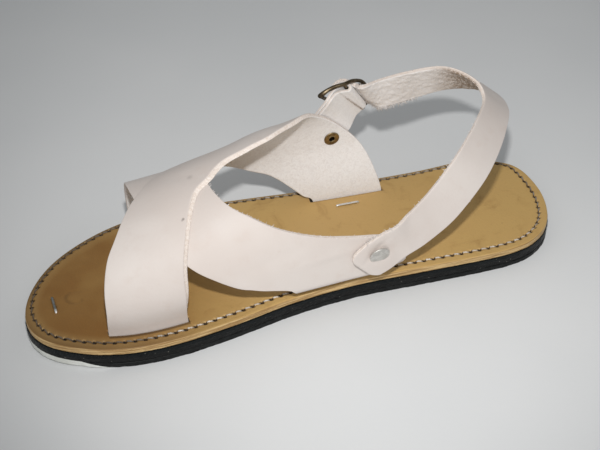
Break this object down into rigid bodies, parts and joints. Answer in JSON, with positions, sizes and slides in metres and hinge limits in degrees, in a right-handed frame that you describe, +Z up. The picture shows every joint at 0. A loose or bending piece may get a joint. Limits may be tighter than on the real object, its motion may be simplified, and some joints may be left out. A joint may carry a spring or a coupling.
{
  "type": "leather sandal",
  "caption": "Flat right-foot sandal: crossing pale leather straps set into a stitched tan footbed on a black rubber sole, with a buckled sling-back ankle strap.",
  "frame": {"origin": "on the floor, under the middle of the sandal's length and width", "axes": "+X to the toe, +Y to the medial (inner) side of the foot, +Z up"},
  "size_m": [0.2712, 0.092, 0.0792],
  "materials": {
    "pale_rubber": "matt crepe, edge dyed black along the sides",
    "black_rubber": "ground matt edge",
    "footbed_leather": "smooth tan grain with a worn sheen",
    "strap_leather": "undyed pale grain outside, raw fibrous flesh inside",
    "dark_brass": "antiqued",
    "rivet_steel": "dull nickel",
    "rivet_brass": "aged",
    "staple_steel": "bright wire"
  },
  "bodies": {
    "root": {"outsole": "pale_rubber", "midsole": "black_rubber", "insole": "footbed_leather", "upper": "strap_leather", "ankle_strap": "strap_leather", "buckle_tab": "strap_leather", "buckle_frame": "dark_brass", "buckle_prong": "dark_brass", "rivet_medial": "rivet_steel", "rivet_lateral": "rivet_brass", "staple_toe": "staple_steel", "staple_waist": "staple_steel"}
  },
  "joints": []
}
